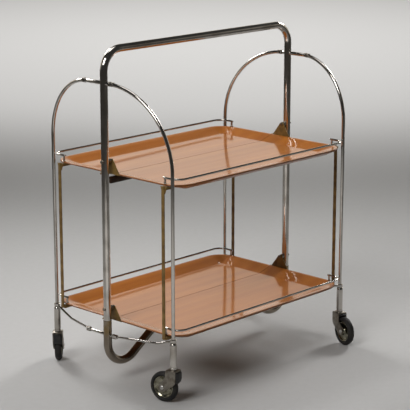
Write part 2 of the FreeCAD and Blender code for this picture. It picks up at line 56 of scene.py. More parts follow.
class Socket:
    """A shader socket. Arithmetic on it adds Math nodes, and node() adds any other node."""

    def __init__(self, tree, output):
        self.tree = tree
        self.output = output

    def node(self, kind, settings, values, output=0):
        added = self.tree.nodes.new("ShaderNode" + kind)
        for name, setting in settings.items():
            setattr(added, name, setting)
        for name, value in values.items():
            if isinstance(value, Socket):
                self.tree.links.new(value.output, added.inputs[name])
            else:
                added.inputs[name].default_value = value
        return Socket(self.tree, added.outputs[output])

    def maths(self, operation, first, second):
        return self.node("Math", {"operation": operation}, {0: first, 1: second})

    def __add__(self, other):
        return self.maths("ADD", self, other)

    def __radd__(self, other):
        return self.maths("ADD", other, self)

    def __sub__(self, other):
        return self.maths("SUBTRACT", self, other)

    def __rsub__(self, other):
        return self.maths("SUBTRACT", other, self)

    def __mul__(self, other):
        return self.maths("MULTIPLY", self, other)

    def __rmul__(self, other):
        return self.maths("MULTIPLY", other, self)

    def rising(self, low, high):
        """0 up to the low value, 1 from the high one, and an even ramp between them."""
        return self.node("MapRange", {}, {"Value": self, "From Min": low, "From Max": high})

    def height(self):
        """The upright part of a place or a direction."""
        return self.node("SeparateXYZ", {}, {"Vector": self}, 2)

    def blend(self, low, high):
        """The first colour where this is 0 and the second where it is 1."""
        return self.node("Mix", {"data_type": "RGBA"}, {0: self, 6: low, 7: high}, 2)

    def noise(self, scale, detail=4.0, stretch=(1, 1, 1)):
        """Cloudy noise over the piece, drawn out along an axis where its stretch is small."""
        spread = self.node("Mapping", {}, {"Vector": self, "Scale": stretch})
        return self.node("TexNoise", {}, {"Vector": spread, "Scale": scale, "Detail": detail})


def tone(red, green, blue):
    """Scene colour of a shade written as a screen shows it, 0 to 255."""
    return (*[((shade / 255 + 0.055) / 1.055) ** 2.4 for shade in (red, green, blue)], 1.0)


def surface(name, fixed):
    """A new finish with the values that hold all over it, and the piece's own coordinates."""
    material = bpy.data.materials.new(name)
    material.use_nodes = True
    shader = material.node_tree.nodes["Principled BSDF"]
    for socket, value in fixed.items():
        shader.inputs[socket].default_value = value
    place = material.node_tree.nodes.new("ShaderNodeTexCoord").outputs["Object"]
    return material, shader, Socket(material.node_tree, place)


def coat(shader, spot, colour, rough, height, depth):
    """Join a pattern's colour, roughness and height (its depth in mm) to a finish."""
    relief = spot.node("Bump", {}, {"Height": height, "Strength": 0.6, "Distance": depth * MM})
    for name, socket in (("Base Color", colour), ("Roughness", rough), ("Normal", relief)):
        spot.tree.links.new(socket.output, shader.inputs[name])


def plated(name, bright, tarnish, rough, stain=None, stain_from=0.0, stain_fade=14.0):
    """Plating over steel: cloudy tarnish, fine wiping marks, scattered pits and a stain above some height."""
    material, shader, spot = surface(name, {"Metallic": 1.0})
    cloud = spot.noise(22.0, 6.0)
    wiped = spot.noise(240.0, 3.0)
    dull = cloud.rising(0.48, 0.74)
    pits = spot.node("TexVoronoi", {}, {"Vector": spot, "Scale": 230.0}).rising(0.16, 0.06)
    pitted = pits * cloud.rising(0.44, 0.58)
    colour = (dull * 0.6 + pitted * 0.4).blend(bright, tarnish)
    if stain:
        stained = spot.height().rising(stain_from * MM, (stain_from + stain_fade) * MM)
        colour = (stained * cloud.rising(0.42, 0.62)).blend(colour, stain)
    worn = rough + dull * 0.1 + wiped * 0.06 + pitted * 0.25
    coat(shader, spot, colour, worn, wiped * 0.15 - pitted, 0.05)
    return material


def picked(geometry, kind):
    """The vertices, edges or faces among what an operator gives back."""
    return [part for part in geometry if isinstance(part, kind)]


def draw_out(mesh, ring):
    """Extrude a ring of edges: the new vertices, the new ring and the faces between the two rings."""
    grown = bmesh.ops.extrude_edge_only(mesh, edges=ring)["geom"]
    verts = set(picked(grown, BMVert))
    edges = [edge for edge in picked(grown, BMEdge) if verts.issuperset(edge.verts)]
    return list(verts), edges, picked(grown, BMFace)


def facing(heading, axis="Z"):
    """Turn that points an axis along a heading."""
    return heading.to_track_quat(axis, "Y").to_matrix().to_4x4()


class Tube:
    """A round bar or tube drawn from one end: straight runs are extruded and bends are spun."""

    def __init__(self, radius, start, heading, sides=28):
        self.mesh = bmesh.new()
        self.at = Vector(start) * MM
        self.heading = Vector(heading).normalized()
        pose = Matrix.Translation(self.at) @ facing(self.heading)
        bmesh.ops.create_circle(self.mesh, cap_ends=True, radius=radius * MM, segments=sides, matrix=pose)
        self.edges = list(self.mesh.edges)

    def run(self, length):
        """Go straight on."""
        along = self.heading * length * MM
        verts, self.edges, _ = draw_out(self.mesh, self.edges)
        bmesh.ops.translate(self.mesh, verts=verts, vec=along)
        self.at = self.at + along
        return self

    def turn(self, towards, radius, angle, steps):
        """Bend through an angle round a centre that lies towards a direction."""
        centre = self.at + Vector(towards).normalized() * radius * MM
        axis = self.heading.cross(towards).normalized()
        sweep = math.radians(angle)
        swung = bmesh.ops.spin(self.mesh, geom=self.edges, cent=centre, axis=axis, angle=sweep, steps=steps)
        self.edges = picked(swung["geom_last"], BMEdge)
        turned_by = Matrix.Rotation(sweep, 3, axis)
        self.at = centre + turned_by @ (self.at - centre)
        self.heading = turned_by @ self.heading
        return self

    def close(self):
        bmesh.ops.holes_fill(self.mesh, edges=self.edges, sides=0)
        return self.mesh


def fit(name, parts, body, slot, finishes, *nodes):
    """Join a piece's parts, close them up and let the piece ride in place of its solids."""
    whole = bmesh.new()
    for part in parts:
        bmesh.ops.remove_doubles(part, verts=part.verts, dist=SAME_POINT)
        bmesh.ops.recalc_face_normals(part, faces=part.faces)
        holder = bpy.data.meshes.new("part")
        part.to_mesh(holder)
        part.free()
        whole.from_mesh(holder)
        bpy.data.meshes.remove(holder)
    data = bpy.data.meshes.new(name)
    whole.to_mesh(data)
    whole.free()
    data.shade_smooth()
    data.set_sharp_from_angle(angle=math.radians(SHARP_ANGLE))
    for finish in finishes:
        data.materials.append(finish)
    piece = bpy.data.objects.new(name, data)
    bpy.context.scene.collection.objects.link(piece)
    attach(piece, body)
    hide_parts(*nodes)


chrome = plated("chrome", tone(192, 187, 180), tone(124, 114, 102), rough=0.035)
post_run = PUSH_BAR_Z - HANDLE_BEND - POST_FOOT
handle = Tube(POST_RAD, (-POST_X, 0, POST_FOOT), UP, sides=36)
handle.run(post_run).turn(EAST, HANDLE_BEND, 90, steps=16).run(2 * (POST_X - HANDLE_BEND))
handle.turn(-UP, HANDLE_BEND, 90, steps=16).run(post_run)
fit("handle_tube", [handle.close()], "frame", "chrome", [chrome], "handle_frame")

# Lower bow: a slightly wider plated tube, darker with age, bent down from each post, round a tight J and
# up to a level run under the trays. The posts push into its open ends, which have gone yellow.
BOW_RAD = 10.05
BOW_TOP = 159
BOW_DROP = 58
BOW_LOW = 49
BOW_LEVEL = 112
BOW_RISE = 35
BOW_BEND = 52
BOW_EASE = 40
STAIN_FROM = 118
rise = math.radians(BOW_RISE)
climb_low = BOW_LOW + BOW_BEND * (1 - math.cos(rise))
climb_high = BOW_LEVEL - BOW_EASE * (1 - math.cos(rise))
climb = (climb_high - climb_low) / math.sin(rise)
level = POST_X - BOW_BEND * (1 + math.sin(rise)) - climb * math.cos(rise) - BOW_EASE * math.sin(rise)
downhill = Vector((math.sin(rise), 0, -math.cos(rise)))
uphill = Vector((math.sin(rise), 0, math.cos(rise)))

aged_chrome = plated(
    "aged_chrome", tone(142, 132, 119), tone(88, 72, 54), rough=0.045, stain=tone(132, 110, 72),
    stain_from=STAIN_FROM,
)
bow = Tube(BOW_RAD, (-POST_X, 0, BOW_TOP), -UP, sides=36)
bow.run(BOW_DROP).turn(EAST, BOW_BEND, 90 + BOW_RISE, steps=24).run(climb)
bow.turn(downhill, BOW_EASE, BOW_RISE, steps=8).run(2 * level).turn(-UP, BOW_EASE, BOW_RISE, steps=8)
bow.run(climb).turn(uphill, BOW_BEND, 90 + BOW_RISE, steps=24).run(BOW_DROP)
fit("bow_tube", [bow.close()], "frame", "chrome_bow", [aged_chrome], "lower_bow")

# Cross rods: plated steel rods driven through each post near its top and through the bow's sockets.
# Both ends are hammered to a flat tongue with an eye, and a riveted upright pin holds a leg's yoke there.
SIDES = {"left": -1, "right": 1}
ENDS = {"front": -1, "back": 1}
NEAR_ARM = 21
FAR_ARM = 62
ROD_LEVELS = {"upper": (722, 4.5), "lower": (123, 3.5)}
ROD_EDGE = 0.8
EAR_ROOM = 5.05
TONGUE = Vector((3, 0, 2))
TONGUE_EDGE = 0.5
HARD_EDGE = 35
PIN_HEAD = [(2, 4.6), (3, 4.6), (3, 5), (2.2, 5.4), (0, 5.4)]
KNUCKLE_RIM = [(4.75, 1.6), (4.35, 2), (0, 2)]


def hinge_arm(side, end):
    """How far from the post a leg's hinge lies: the two gates at a post fold past each other."""
    return NEAR_ARM if SIDES[side] == ENDS[end] else FAR_ARM


def at(x, y, z):
    """Pose at a place in mm."""
    return Matrix.Translation(Vector((x, y, z)) * MM)


def flipped(profile):
    """The other end of a profile that is the same both ways up, in the order that leads into it."""
    return [(radius, -height) for radius, height in reversed(profile)]


def turned(profile, pose=Matrix(), steps=32):
    """Turn a profile of (radius, height) points once round its own axis, then put it in place."""
    mesh = bmesh.new()
    verts = [mesh.verts.new((radius * MM, 0, height * MM)) for radius, height in profile]
    edges = [mesh.edges.new(pair) for pair in zip(verts, verts[1:])]
    full = math.radians(360)
    bmesh.ops.spin(mesh, geom=verts + edges, cent=(0, 0, 0), axis=UP, angle=full, steps=steps, use_merge=True)
    bmesh.ops.transform(mesh, matrix=pose, verts=mesh.verts)
    return mesh


def bevelled(mesh, geometry, size, segments, affect="EDGES", clamped=False):
    """Round off edges or corners, and give the new faces."""
    return bmesh.ops.bevel(
        mesh, geom=geometry, offset=size * MM, affect=affect, segments=segments, profile=0.5, material=-1,
        clamp_overlap=clamped,
    )["faces"]


def ease(mesh, size, segments=2):
    """Take the sharpness off every hard edge."""
    bmesh.ops.recalc_face_normals(mesh, faces=mesh.faces)
    hard_angle = math.radians(HARD_EDGE)
    hard = [edge for edge in mesh.edges if edge.is_manifold and edge.calc_face_angle() > hard_angle]
    bevelled(mesh, hard, size, segments, clamped=True)
    return mesh


def block(low, high, edge):
    """Block between two corners, with eased edges."""
    mesh = bmesh.new()
    bmesh.ops.create_cube(mesh, size=1.0)
    bmesh.ops.scale(mesh, vec=(Vector(high) - Vector(low)) * MM, verts=mesh.verts)
    bmesh.ops.translate(mesh, vec=(Vector(high) + Vector(low)) / 2 * MM, verts=mesh.verts)
    return ease(mesh, edge)


pin = flipped(PIN_HEAD) + PIN_HEAD
knuckle = flipped(KNUCKLE_RIM) + KNUCKLE_RIM
for rod_level, (height, radius) in ROD_LEVELS.items():
    for side, sign in SIDES.items():
        x = sign * POST_X
        front = hinge_arm(side, "front")
        back = hinge_arm(side, "back")
        rod = Tube(radius, (x, EAR_ROOM - front, height), NORTH).run(front + back - 2 * EAR_ROOM)
        tongue_low = Vector((x, -front, height)) - TONGUE
        tongue_high = Vector((x, back, height)) + TONGUE
        parts = [ease(rod.close(), ROD_EDGE), block(tongue_low, tongue_high, TONGUE_EDGE)]
        for y in (-front, back):
            parts.append(turned(knuckle, at(x, y, height)))
            parts.append(turned(pin, at(x, y, height), steps=20))
        name = "%s_%s" % (rod_level, side)
        fit("rod_" + name, parts, "frame", "chrome", [chrome], "cross_rod_" + name)

# Legs: slim plated rods, each bent over at the top in a wide quarter arc to a yoke on its cross rod.
# The yoke is a forged fork of two ears round the rod's tongue, so the whole leg can swing flat.
LEG_X = 300
LEG_Y = 200
LEG_RAD = 4.25
LEG_FOOT = 115
CORNERS = {"%s_%s" % (end, side): (side, end) for side in SIDES for end in ENDS}
EAR = [(-4.75, -4.75, 4.7), (10, -4.5, 1), (10, 4.5, 1), (-4.75, 4.75, 4.7)]
EAR_THICK = 2.3
EAR_GAP = 2.3
EAR_EDGE = 0.4
WEB_LOW = Vector((EAR_ROOM, -4.3, -2.6))
WEB_HIGH = Vector((9.8, 4.3, 2.6))
WEB_EDGE = 0.3
YOKE_STEP = 8


def thicken(mesh, by):
    """Extrude a flat outline into a slab."""
    grown = bmesh.ops.extrude_face_region(mesh, geom=list(mesh.faces))["geom"]
    bmesh.ops.translate(mesh, verts=picked(grown, BMVert), vec=by * MM)


def plate(corners, thick, edge, pose=Matrix()):
    """Flat plate from its corners (x, y, rounding), with eased edges, put in place."""
    mesh = bmesh.new()
    verts = [mesh.verts.new((x * MM, y * MM, 0)) for x, y, rounding in corners]
    mesh.faces.new(verts)
    for vert, (x, y, rounding) in zip(verts, corners):
        bevelled(mesh, [vert], rounding, segments=8, affect="VERTICES")
    bmesh.ops.remove_doubles(mesh, verts=mesh.verts, dist=SAME_POINT)
    thicken(mesh, UP * thick)
    ease(mesh, edge)
    bmesh.ops.transform(mesh, matrix=pose, verts=mesh.verts)
    return mesh


def yoke(height):
    """Two ears and the web behind them, round the hinge at the local origin."""
    return [
        plate(EAR, EAR_THICK, EAR_EDGE, at(0, 0, height + EAR_GAP)),
        plate(EAR, EAR_THICK, EAR_EDGE, at(0, 0, height - EAR_GAP - EAR_THICK)),
        block(WEB_LOW + UP * height, WEB_HIGH + UP * height, WEB_EDGE),
    ]


def reach(side, end):
    """Level distance from a leg's hinge to the leg."""
    return math.hypot(POST_X - LEG_X, LEG_Y - hinge_arm(side, end))


def gate(side, end):
    """Place and heading of a leg gate: its hinge, then round towards the leg's place."""
    sign = SIDES[side]
    arm = hinge_arm(side, end)
    heading = math.atan2(ENDS[end] * (LEG_Y - arm), -sign * (POST_X - LEG_X))
    return at(sign * POST_X, ENDS[end] * arm, 0) @ Matrix.Rotation(heading, 4, "Z")


def put(parts, pose):
    """Move parts that were made at the origin into place."""
    for part in parts:
        bmesh.ops.transform(part, matrix=pose, verts=part.verts)
    return parts


leg_top = ROD_LEVELS["upper"][0]
for corner, (side, end) in CORNERS.items():
    arc = reach(side, end) + YOKE_STEP
    sweep = math.degrees(math.acos(2 * YOKE_STEP / arc))
    leg = Tube(LEG_RAD, (reach(side, end), 0, LEG_FOOT), UP)
    leg.run(leg_top - arc - LEG_FOOT).turn(-EAST, arc, sweep, steps=28)
    parts = put([leg.close(), *yoke(leg_top)], gate(side, end))
    fit("bent_leg_" + corner, parts, "frame", "chrome", [chrome], "leg_" + corner)

# Lower wire arms: a thin plated wire from the lower cross rod out to each leg, kinked up on its way.
# One end is welded into a yoke like the leg's, and the other to a ring that is pinched round the leg.
ARM_RAD = 2.5
ARM_TILT = 4.8
ARM_RISE = 18
ARM_KNEE = 24
ARM_STOP = 3
EYE_Z = 145.5
EYE_HALF = 4
EYE = [(4.27, 0), (6.6, 0), (7.25, 0.65), (7.25, 7.35), (6.6, 8), (4.27, 8), (4.27, 0)]
low_slope = math.radians(ARM_TILT)
high_slope = math.radians(ARM_RISE)
knee_run = ARM_KNEE * math.tan((high_slope - low_slope) / 2)
along = (math.cos(low_slope), 0, math.sin(low_slope))
across = (-math.sin(low_slope), 0, math.cos(low_slope))
arm_z = ROD_LEVELS["lower"][0]
rise_to_eye = EYE_Z + EYE_HALF - arm_z
for corner, (side, end) in CORNERS.items():
    eye_x = reach(side, end)
    knee = (rise_to_eye - eye_x * math.tan(high_slope)) / (math.tan(low_slope) - math.tan(high_slope))
    wire = Tube(ARM_RAD, (YOKE_STEP, 0, arm_z + YOKE_STEP * math.tan(low_slope)), along, sides=20)
    wire.run((knee - YOKE_STEP) / math.cos(low_slope) - knee_run)
    wire.turn(across, ARM_KNEE, ARM_RISE - ARM_TILT, steps=5)
    wire.run((eye_x - ARM_STOP - knee) / math.cos(high_slope) - knee_run)
    parts = [wire.close(), turned(EYE, at(eye_x, 0, EYE_Z)), *yoke(arm_z)]
    put(parts, gate(side, end))
    fit("wire_arm_" + corner, parts, "frame", "chrome", [chrome], "leg_arm_" + corner)

# Castor sockets: drawn tube sleeves with a rounded shoulder, plated, pressed onto the foot of each leg.
# A bead rolled near the mouth grips the castor's stem.
SLEEVE_Z = 82
SLEEVE = [
    (4.06, 0), (7.3, 0), (8, 0.7), (8, 4), (7.5, 4.6), (7.5, 6.2), (8, 6.8), (8, 57), (7.75, 59.6),
    (6.9, 61.7), (5.4, 62.8), (4.3, 63), (4.3, 33), (4.06, 28), (4.06, 0),
]
for corner, (side, end) in CORNERS.items():
    sleeve = turned(SLEEVE, at(SIDES[side] * LEG_X, ENDS[end] * LEG_Y, SLEEVE_Z))
    fit("sleeve_" + corner, [sleeve], "frame", "chrome", [chrome], "castor_socket_" + corner)

# Castor forks: pressed steel, a round crown with a stem and two tapering cheeks down to the axle.
# Each swivels on its stem, so every castor stands turned its own way.
SWIVELS = {"front_left": 101, "front_right": -107, "back_left": 45, "back_right": 73}
CASTOR_TRAIL = 25
AXLE_Z = 36
CROWN_Z = 76.5
CROWN = [
    (0, 0), (12.2, 0), (13, 0.8), (13, 3), (12.3, 4.4), (10.6, 5.2), (4, 5.2), (4, 31.5), (3.2, 32.5),
    (0, 32.5),
]
BRIDGE_LOW = (-11.8, -12.2, CROWN_Z)
BRIDGE_HIGH = (14, 12.2, CROWN_Z + 4.6)
BRIDGE_EDGE = 1.6
CHEEK = [
    (-12.5, 80.5, 2.5), (-12.5, 54, 4), (-8, 46.5, 3.5), (18, 26.5, 7), (33.5, 27, 7.5), (35, 42, 7),
    (15.5, 61, 5), (14.5, 80.5, 2.5),
]
CHEEK_OUT = 12.5
CHEEK_THICK = 2
CHEEK_EDGE = 0.5
STUD = [(2.4, -0.2), (2.4, 0.1), (1.9, 0.7), (1, 1.05), (0, 1.15)]
STUD_X = 4
STUD_Z = 60
UPRIGHT = Matrix.Rotation(math.radians(90), 4, "X")


def steel_plate(name, shade, stain, rough):
    """Satin zinc-plated steel, faintly mottled with grime."""
    material, shader, spot = surface(name, {"Metallic": 1.0})
    mottle = spot.noise(90.0, 5.0)
    brushed = spot.noise(1.0, 2.0, (900, 900, 90))
    grime = mottle.rising(0.45, 0.72)
    worn = rough + grime * 0.2 + brushed * 0.08
    coat(shader, spot, grime.blend(shade, stain), worn, brushed - mottle, 0.04)
    return material


def castor_pose(corner):
    """Place of a castor's stem, turned the way that the castor stands."""
    side, end = CORNERS[corner]
    place = at(SIDES[side] * LEG_X, ENDS[end] * LEG_Y, 0)
    return place @ Matrix.Rotation(math.radians(SWIVELS[corner]), 4, "Z")


fork_steel = steel_plate("fork_steel", tone(142, 136, 126), tone(108, 100, 88), rough=0.24)
for corner in SWIVELS:
    parts = [turned(CROWN, at(0, 0, CROWN_Z)), block(BRIDGE_LOW, BRIDGE_HIGH, BRIDGE_EDGE)]
    for y in (CHEEK_THICK - CHEEK_OUT, CHEEK_OUT):
        parts.append(plate(CHEEK, CHEEK_THICK, CHEEK_EDGE, at(0, y, 0) @ UPRIGHT))
    parts.append(turned(STUD, at(STUD_X, -CHEEK_OUT, STUD_Z) @ UPRIGHT, steps=20))
    parts.append(turned(STUD, at(STUD_X, CHEEK_OUT, STUD_Z) @ UPRIGHT.inverted(), steps=20))
    put(parts, castor_pose(corner))
    fit("cheeks_" + corner, parts, "castor_" + corner, "steel", [fork_steel], "fork_" + corner)

# Castor hoods: moulded black plastic guards that sit under the crown between the cheeks.
# The underside follows the tyre, the lower front edge tapers and the upright corners are rounded off.
HOOD_HALF = 10.4
HOOD_FRONT = -18.3
HOOD_BACK = 18.3
HOOD_BROW = (HOOD_FRONT, 63)
HOOD_TIP = (-13.5, 52)
HOOD_MOUTH = (-10.86, 50)
HOOD_SWEEP = 58.6
HOOD_CORNER = 5
HOOD_EDGE = 0.7


def moulded(name, shade, worn):
    """Black moulded plastic with a faint grain, greyer where it has been scuffed."""
    material, shader, spot = surface(name, {"Specular IOR Level": 0.45})
    scuffs = spot.noise(70.0, 6.0).rising(0.5, 0.75)
    grain = spot.noise(700.0, 2.0)
    coat(shader, spot, scuffs.blend(shade, worn), 0.38 + scuffs * 0.2 + grain * 0.08, grain, 0.05)
    return material


def hood():
    """Side outline with the wheel arch spun into it, extruded across the fork."""
    mesh = bmesh.new()
    outline = [(HOOD_BACK, CROWN_Z), (HOOD_FRONT, CROWN_Z), HOOD_BROW, HOOD_TIP, HOOD_MOUTH]
    verts = [mesh.verts.new(Vector((x, -HOOD_HALF, z)) * MM) for x, z in outline]
    centre = Vector((CASTOR_TRAIL, -HOOD_HALF, AXLE_Z)) * MM
    sweep = math.radians(HOOD_SWEEP)
    swung = bmesh.ops.spin(mesh, geom=verts[-1:], cent=centre, axis=NORTH, angle=sweep, steps=14)
    arch_end = picked(swung["geom_last"], BMVert)
    for pair in zip(arch_end + verts, verts):
        mesh.edges.new(pair)
    bmesh.ops.holes_fill(mesh, edges=list(mesh.edges), sides=0)
    thicken(mesh, NORTH * 2 * HOOD_HALF)
    front = {vert for vert in mesh.verts if vert.co.x < HOOD_FRONT * MM + SAME_POINT}
    edges = [edge for edge in mesh.edges if front.issuperset(edge.verts)]
    upright = [edge for edge in edges if abs(edge.verts[0].co.y - edge.verts[1].co.y) < SAME_POINT]
    bevelled(mesh, upright, HOOD_CORNER, segments=6)
    return ease(mesh, HOOD_EDGE)


black_plastic = moulded("black_plastic", tone(24, 23, 22), tone(52, 49, 45))
for corner in SWIVELS:
    parts = put([hood()], castor_pose(corner))
    fit("guard_" + corner, parts, "castor_" + corner, "black_plastic", [black_plastic], "hood_" + corner)

# Axles: plain bright steel rivets through the cheeks and the hub, with a domed head at each side.
# The wheel turns freely on the shank.
AXLE_HEAD = [(3, 12.5), (5, 12.5), (4.4, 13.2), (2.6, 13.85), (0, 14)]
bright_steel = steel_plate("bright_steel", tone(196, 194, 190), tone(120, 114, 104), rough=0.26)


def wheel_pose(corner):
    """Middle of a wheel, with a profile's axis along its axle."""
    return castor_pose(corner) @ at(CASTOR_TRAIL, 0, AXLE_Z) @ UPRIGHT


axle = flipped(AXLE_HEAD) + AXLE_HEAD
for corner in SWIVELS:
    rivet = turned(axle, wheel_pose(corner), steps=24)
    fit("rivet_" + corner, [rivet], "castor_" + corner, "bright_steel", [bright_steel], "axle_" + corner)

# Wheel hubs: two pressed steel discs joined back to back, dished between a raised lip and a round boss.
# The plating has gone a little green with age.
HUB_FACE = [
    (3.06, 10.2), (7, 10.2), (8, 9.2), (8.4, 6), (9.6, 4.4), (12, 3.4), (17, 2.9), (20.5, 3.3), (22.6, 4.6),
    (23.8, 6), (25, 6.4), (26.2, 6), (27, 5.2),
]
hub_steel = steel_plate("hub_steel", tone(150, 147, 130), tone(92, 86, 66), rough=0.12)
hub = HUB_FACE + flipped(HUB_FACE) + HUB_FACE[:1]
for corner in SWIVELS:
    disc = turned(hub, wheel_pose(corner), steps=48)
    fit("disc_" + corner, [disc], "wheel_" + corner, "steel", [hub_steel], "hub_" + corner)

# Tyres: solid black rubber rings with a rounded tread, stretched over the hubs.
# The mould has left a line on each wall.
TYRE_FACE = [
    (27, 7.2), (28, 8.1), (29.4, 8.5), (30.2, 8.1), (30.9, 8.3), (32.6, 7.6), (34.4, 6.1), (35.5, 4.2),
    (36, 2),
]


def rubber(name, shade, dust):
    """Black rubber, greyed with dust and finely roughened."""
    material, shader, spot = surface(name, {"Specular IOR Level": 0.35})
    dusty = spot.noise(60.0, 6.0).rising(0.42, 0.75)
    grain = spot.noise(900.0, 3.0)
    coat(shader, spot, dusty.blend(shade, dust), 0.55 + dusty * 0.25 + grain * 0.1, grain, 0.08)
    return material


tyre_rubber = rubber("tyre_rubber", tone(22, 21, 20), tone(48, 44, 39))
tyre = TYRE_FACE + flipped(TYRE_FACE) + TYRE_FACE[:1]
for corner in SWIVELS:
    ring = turned(tyre, wheel_pose(corner), steps=56)
    fit("tread_" + corner, [ring], "wheel_" + corner, "tyre", [tyre_rubber], "tyre_" + corner)

# Trays: moulded sheets of laminated veneer with a flat floor, a flared wall and a rolled rim, lacquered.
# Each is sawn lengthwise off its middle into a wide front leaf and a narrow back leaf.
RIMS = {"upper": 511, "lower": 158.5}
LEAVES = {"%s_%s" % (tier, end): (tier, end) for tier in RIMS for end in ENDS}
CORNER_STEPS = 12
CORNER_X = 245
CORNER_Y = 161
RIM_RAD = 52
SEAM_Y = 28
SEAM_HALF = 0.15
SEAM_CHAMFER = 0.9
FLOOR_EDGE = (50.5, -12)
INNER_FACE = [
    (48.5, -11.9), (46.5, -11.5), (44, -10.95), (30, -6.9), (15, -2.4), (10.5, -1.15), (8.5, -0.7),
    (6.5, -0.3), (4.5, -0.05), (2.5, 0), (1.2, -0.15),
]
OUTER_FACE = [
    (0.3, -0.75, -0.75), (0, -1.5, -1.5), (0, -2.2, -2.2), (0.3, -3, -2.9), (1, -3.8, -3.5), (3, -5.2, -4.4),
    (13, -10.6, -7.4), (21, -14.8, -9.8), (24, -15.5, -10.7), (38, -15.5, -14.9), (41, -15.5, -15.5),
    (44, -15.5, -15.5),
]
TOP_VENEER = 0
# Finish index of the darker veneer: the ply's dark edge on the saw cut and seam chamfer, painted shade on the
# outer wall and underside.
EDGE_AND_SHADE_VENEER = 1


def laminate(name, pale, deep, streak, gloss):
    """Lacquered veneer with its grain along the tray: broad bands, fine pores and a satin coat."""
    lacquer = {"Coat Weight": gloss, "Coat Roughness": 0.08, "Specular IOR Level": 0.15}
    material, shader, spot = surface(name, lacquer)
    bands = spot.noise(1.0, 3.0, (1.1, 34, 34))
    fibres = spot.noise(1.0, 5.0, (7, 420, 420))
    pores = spot.noise(1.0, 3.0, (18, 1100, 1100)).rising(0.58, 0.72)
    colour = (bands * 0.7 + fibres * 0.3).rising(0.34, 0.66).blend(deep, pale)
    grained = (pores * 0.25).blend(colour, streak)
    coat(shader, spot, grained, 0.34 + fibres * 0.12 + pores * 0.1, fibres - pores, 0.012)
    return material


def tray_floor(mesh, rim):
    """Rounded rectangle of the flat floor: a circle whose quarters are moved out to the tray's corners."""
    half_step = math.radians(45 / CORNER_STEPS)
    turned_by = Matrix.Rotation(half_step, 4, "Z")
    segments = 4 * CORNER_STEPS
    circle = bmesh.ops.create_circle(mesh, cap_ends=True, radius=1.0, segments=segments, matrix=turned_by)
    inset, depth = FLOOR_EDGE
    for vert in circle["verts"]:
        quarter, angle = divmod(math.atan2(vert.co.y, vert.co.x), math.radians(90))
        spread = (angle - half_step) * CORNER_STEPS / (CORNER_STEPS - 1) + quarter * math.radians(90)
        away = Vector((math.cos(spread), math.sin(spread), 0)) * (RIM_RAD - inset)
        core = Vector((math.copysign(CORNER_X, vert.co.x), math.copysign(CORNER_Y, vert.co.y), rim + depth))
        vert.co = (core + away) * MM
    return list(mesh.edges)


def pressed_tray(rim):
    """Rings of one rounded rectangle drawn out from the floor over the rim and back under it."""
    mesh = bmesh.new()
    ring = tray_floor(mesh, rim)
    steps = [(inset, depth, depth, TOP_VENEER) for inset, depth in INNER_FACE]
    # The outer wall, rim rounding and underside take the darker veneer as painted shade.
    steps += [(*step, EDGE_AND_SHADE_VENEER) for step in OUTER_FACE]
    for inset, side_depth, end_depth, finish in steps:
        verts, ring, faces = draw_out(mesh, ring)
        for vert in verts:
            core_x = math.copysign(CORNER_X * MM, vert.co.x)
            core_y = math.copysign(CORNER_Y * MM, vert.co.y)
            away = Vector((vert.co.x - core_x, vert.co.y - core_y)).normalized()
            depth = side_depth + (end_depth - side_depth) * abs(away.x)
            spread_by = away * (RIM_RAD - inset) * MM
            vert.co = (core_x + spread_by.x, core_y + spread_by.y, (rim + depth) * MM)
        for face in faces:
            face.material_index = finish
    for face in bmesh.ops.holes_fill(mesh, edges=ring, sides=0)["faces"]:
        face.material_index = EDGE_AND_SHADE_VENEER
    return mesh


def sawn(mesh, way):
    """The part of a tray on one side of the seam, closed along the cut, with its top edge chamfered."""
    whole = list(mesh.verts) + list(mesh.edges) + list(mesh.faces)
    seam = (0, (SEAM_Y + way * SEAM_HALF) * MM, 0)
    kept = bmesh.ops.bisect_plane(mesh, geom=whole, plane_co=seam, plane_no=NORTH * -way, clear_outer=True)
    edges = picked(kept["geom_cut"], BMEdge)
    top_edges = [edge for edge in edges if edge.link_faces[0].material_index == TOP_VENEER]
    dark = bmesh.ops.holes_fill(mesh, edges=edges, sides=0)["faces"]
    dark += bevelled(mesh, top_edges, SEAM_CHAMFER, segments=1)
    for face in dark:
        if face.is_valid:
            face.material_index = EDGE_AND_SHADE_VENEER
    return mesh


veneer = laminate("veneer", tone(180, 108, 36), tone(162, 91, 26), tone(116, 62, 18), gloss=1.0)
# Darker, duller copy of the veneer: painted shade where it covers the outer wall and underside, the ply's
# dark edge on the cut and chamfer.
veneer_edge_and_shade = laminate("veneer_edge_and_shade", tone(140, 88, 48), tone(116, 70, 36), tone(74, 44, 24), gloss=0.3)
for leaf, (tier, end) in LEAVES.items():
    parts = [sawn(pressed_tray(RIMS[tier]), ENDS[end])]
    fit("panel_" + leaf, parts, leaf, "laminate", [veneer, veneer_edge_and_shade], "tray_" + leaf)

# Seam batten: a wooden bar screwed under the upper front leaf beside the saw cut, coloured near black as
# painted shade from the leaf above.
# The back leaf rests on nothing else along the seam, so the bar keeps the two floors level.
BATTEN_LOW = (-288, 13.85, 480.5)
BATTEN_HIGH = (288, 25.85, 495.5)
BATTEN_EDGE = 1.8
# Near-black wood: the darkness is painted shade under the upper tray.
dark_wood = laminate("dark_wood", tone(62, 46, 34), tone(38, 28, 21), tone(20, 15, 12), gloss=0.15)
batten = block(BATTEN_LOW, BATTEN_HIGH, BATTEN_EDGE)
fit("batten", [batten], "upper_front", "dark_wood", [dark_wood], "seam_batten")

